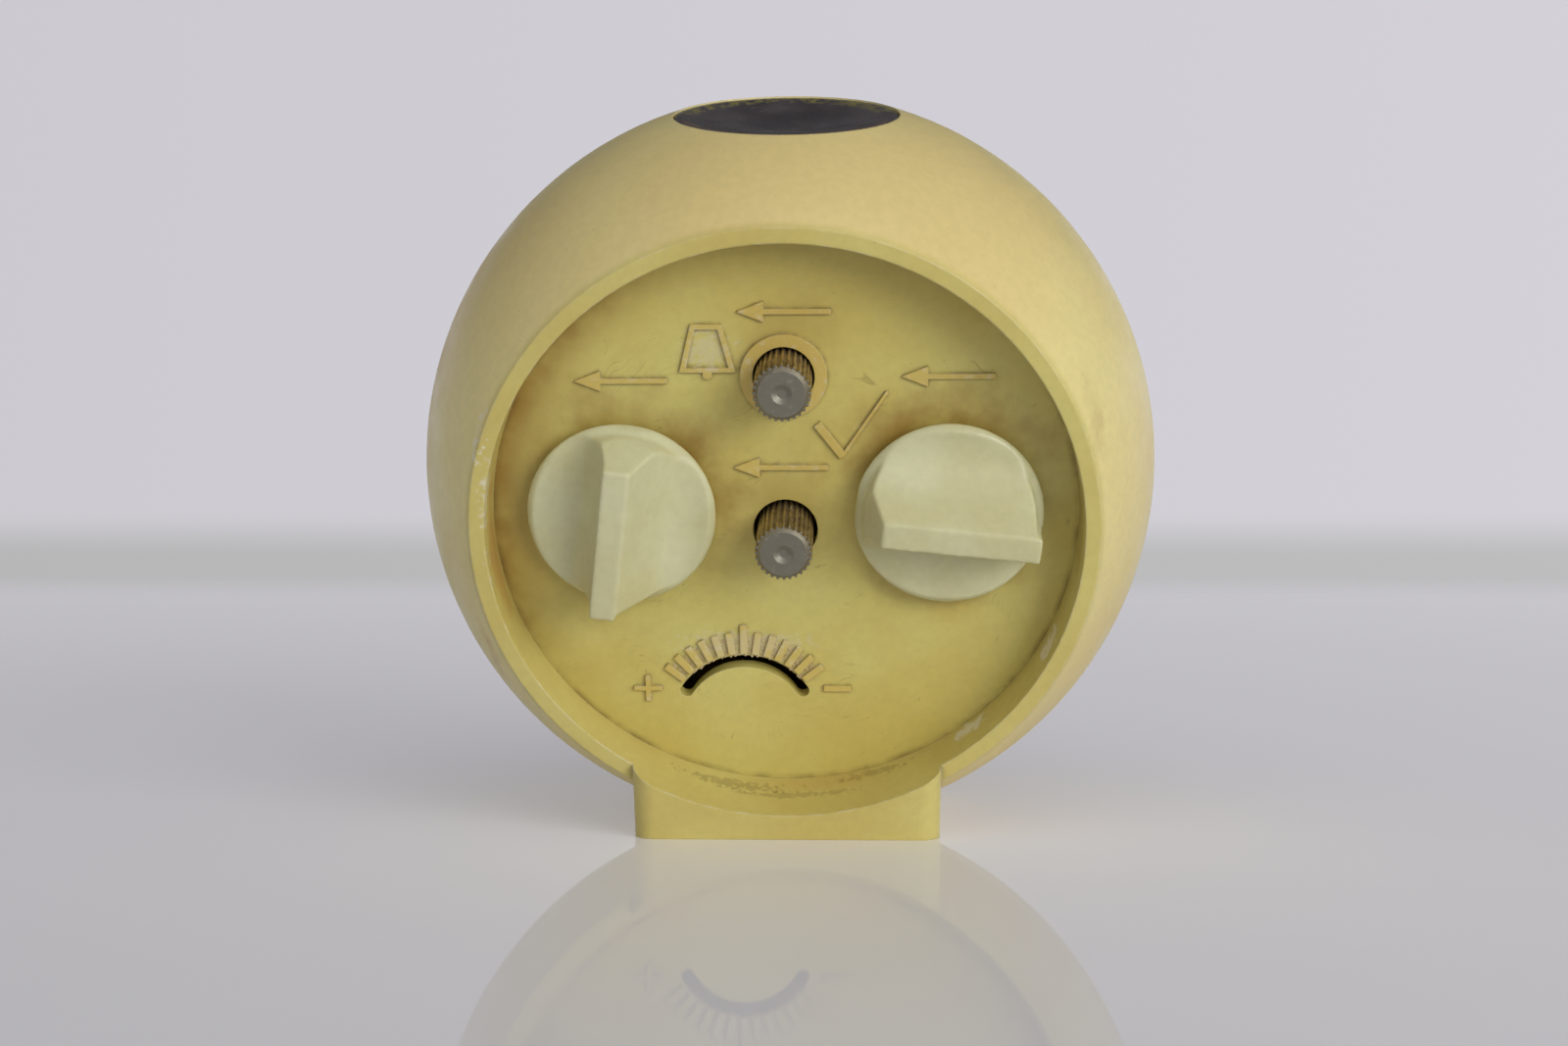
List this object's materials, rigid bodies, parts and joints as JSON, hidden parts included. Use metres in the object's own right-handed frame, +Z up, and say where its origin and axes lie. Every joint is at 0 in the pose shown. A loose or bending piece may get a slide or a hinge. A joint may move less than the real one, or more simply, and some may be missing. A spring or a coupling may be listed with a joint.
{
  "type": "wind-up alarm clock",
  "caption": "Wind-up mechanical alarm clock in a ball-shaped plastic case on a flat foot, with winding keys and setting shafts behind and a stop button on top.",
  "frame": {"origin": "on the flat sole of the foot, straight below the centre of the ball", "axes": "+Z up; the back with the keys faces -Y and leans so that the dial on the +Y side looks up by 19.25 degrees; +X is to the right seen from behind"},
  "size_m": [0.09, 0.0757, 0.09],
  "materials": {
    "case_plastic": "smooth moulded, aged yellow-cream",
    "plate_plastic": "smooth moulded, aged yellow-brown",
    "key_plastic": "smooth moulded, aged ivory",
    "button_plastic": "glossy dark grey",
    "shaft_brass": "knurled, tarnished",
    "brass": "satin",
    "plate_brass": "satin sheet",
    "steel": "turned",
    "spring_steel": "blued",
    "bell_steel": "plated",
    "dial_paint": "matt",
    "surround_paint": "satin",
    "hand_paint": "satin",
    "alarm_hand_paint": "satin",
    "bezel_brass": "polished",
    "crystal": "clear"
  },
  "bodies": {
    "case": {"rear_shell": "case_plastic", "front_shell": "case_plastic", "back_plate": "plate_plastic", "case_screws": "steel", "cover_posts": "brass", "rear_movement_plate": "plate_brass", "front_movement_plate": "plate_brass", "pillars": "steel", "pillar_nuts": "steel", "time_mainspring": "spring_steel", "alarm_mainspring": "spring_steel", "hairspring": "spring_steel", "lever_bridge": "plate_brass", "regulator_bush": "brass", "minute_stud": "steel", "bell": "bell_steel", "bell_post": "brass", "button_bracket": "plate_brass", "dial_posts": "brass", "dial": "dial_paint", "dial_surround": "surround_paint", "bezel": "bezel_brass", "crystal": "crystal"},
    "time_winding": {"time_key": "key_plastic", "time_winding_arbor": "steel", "time_ratchet_wheel": "steel"},
    "alarm_winding": {"alarm_key": "key_plastic", "alarm_winding_arbor": "steel", "alarm_ratchet_wheel": "steel"},
    "great": {"great_wheel": "brass", "time_click": "steel"},
    "centre": {"centre_pinion": "steel", "centre_wheel": "brass"},
    "third": {"third_arbor": "steel", "third_wheel": "brass"},
    "escape": {"escape_arbor": "steel", "escape_wheel": "brass"},
    "lever": {"pallet_lever": "steel"},
    "balance": {"balance_wheel": "brass", "balance_staff": "steel"},
    "regulator": {"regulator_lever": "steel"},
    "time_set": {"time_set_shaft": "shaft_brass", "cannon_pinion": "brass", "minute_hand": "hand_paint"},
    "minute_work": {"minute_wheel": "brass"},
    "hour_work": {"hour_wheel": "brass", "hour_hand": "hand_paint"},
    "alarm_set": {"alarm_set_shaft": "shaft_brass", "alarm_set_pinion": "brass"},
    "alarm_work": {"alarm_wheel": "brass", "alarm_hand": "alarm_hand_paint"},
    "alarm_great": {"alarm_great_wheel": "brass", "alarm_click": "steel"},
    "alarm_escape": {"alarm_escape_arbor": "steel", "alarm_escape_wheel": "brass"},
    "hammer_swing": {"hammer_arbor": "steel", "hammer": "steel"},
    "stop": {"stop_button": "button_plastic", "button_stem": "steel", "button_spring": "spring_steel"}
  },
  "joints": [
    {"name": "time_key_turn", "type": "hinge", "parent": "case", "child": "time_winding", "pos_m": [0.01875, -0.01934, 0.03973], "axis": [0, -0.9441, -0.3297], "range_deg": [0, 1620]},
    {"name": "alarm_key_turn", "type": "hinge", "parent": "case", "child": "alarm_winding", "pos_m": [-0.01875, -0.01934, 0.03973], "axis": [0, -0.9441, -0.3297], "range_deg": [0, 1620]},
    {"name": "third_turn", "type": "hinge", "parent": "case", "child": "third", "pos_m": [0.0051, 0.00337, 0.03534], "axis": [0, -0.9441, -0.3297], "continuous": true},
    {"name": "centre_turn", "type": "hinge", "parent": "case", "child": "centre", "pos_m": [0, 0.00046, 0.04368], "axis": [0, -0.9441, -0.3297], "continuous": true},
    {"name": "great_turn", "type": "hinge", "parent": "case", "child": "great", "pos_m": [0.01875, 0.00426, 0.04797], "axis": [0, -0.9441, -0.3297], "continuous": true},
    {"name": "escape_turn", "type": "hinge", "parent": "case", "child": "escape", "pos_m": [0.00103, 0.0058, 0.0284], "axis": [0, -0.9441, -0.3297], "continuous": true},
    {"name": "lever_rock", "type": "hinge", "parent": "case", "child": "lever", "pos_m": [-0.00202, 0.00723, 0.02431], "axis": [0, -0.9441, -0.3297], "range_deg": [-6, 6]},
    {"name": "balance_swing", "type": "hinge", "parent": "case", "child": "balance", "pos_m": [-0.00513, 0.00868, 0.02013], "axis": [0, -0.9441, -0.3297], "range_deg": [-220, 220], "stiffness_Nm_per_rad": 0.00002},
    {"name": "regulator_turn", "type": "hinge", "parent": "case", "child": "regulator", "pos_m": [-0.00513, -0.0017, 0.01651], "axis": [0, -0.9441, -0.3297], "range_deg": [-50, 50]},
    {"name": "time_set_turn", "type": "hinge", "parent": "case", "child": "time_set", "pos_m": [0, -0.0222, 0.03577], "axis": [0, -0.9441, -0.3297], "continuous": true},
    {"name": "minute_work_turn", "type": "hinge", "parent": "case", "child": "minute_work", "pos_m": [-0.00688, 0.01243, 0.04276], "axis": [0, -0.9441, -0.3297], "continuous": true},
    {"name": "hour_turn", "type": "hinge", "parent": "case", "child": "hour_work", "pos_m": [0, 0.01273, 0.04796], "axis": [0, -0.9441, -0.3297], "continuous": true},
    {"name": "alarm_set_turn", "type": "hinge", "parent": "case", "child": "alarm_set", "pos_m": [0, -0.02834, 0.05337], "axis": [0, -0.9441, -0.3297], "continuous": true},
    {"name": "alarm_hand_turn", "type": "hinge", "parent": "case", "child": "alarm_work", "pos_m": [0, 0.01462, 0.04862], "axis": [0, -0.9441, -0.3297], "continuous": true},
    {"name": "alarm_great_turn", "type": "hinge", "parent": "case", "child": "alarm_great", "pos_m": [-0.01875, 0.00237, 0.04731], "axis": [0, -0.9441, -0.3297], "continuous": true},
    {"name": "alarm_escape_turn", "type": "hinge", "parent": "case", "child": "alarm_escape", "pos_m": [-0.0101, -0.00583, 0.06169], "axis": [0, -0.9441, -0.3297], "continuous": true},
    {"name": "hammer_swing", "type": "hinge", "parent": "case", "child": "hammer_swing", "pos_m": [-0.006, -0.02195, 0.0654], "axis": [0, -0.9441, -0.3297], "range_deg": [-2.8, 6]},
    {"name": "stop_press", "type": "slide", "parent": "case", "child": "stop", "axis": [0, 0.3297, -0.9441], "range_m": [0, 0.002], "stiffness_N_per_m": 400, "springref_m": -0.0015, "deforming": ["button_spring"]}
  ],
  "couplings": [
    {"joint": "centre_turn", "follows": "third_turn", "ratio": -0.13333},
    {"joint": "great_turn", "follows": "third_turn", "ratio": 0.026667},
    {"joint": "escape_turn", "follows": "third_turn", "ratio": -6},
    {"joint": "minute_work_turn", "follows": "time_set_turn", "ratio": -0.33333},
    {"joint": "hour_turn", "follows": "time_set_turn", "ratio": 0.083333},
    {"joint": "alarm_hand_turn", "follows": "alarm_set_turn", "ratio": -0.33333},
    {"joint": "alarm_escape_turn", "follows": "alarm_great_turn", "ratio": -6}
  ]
}
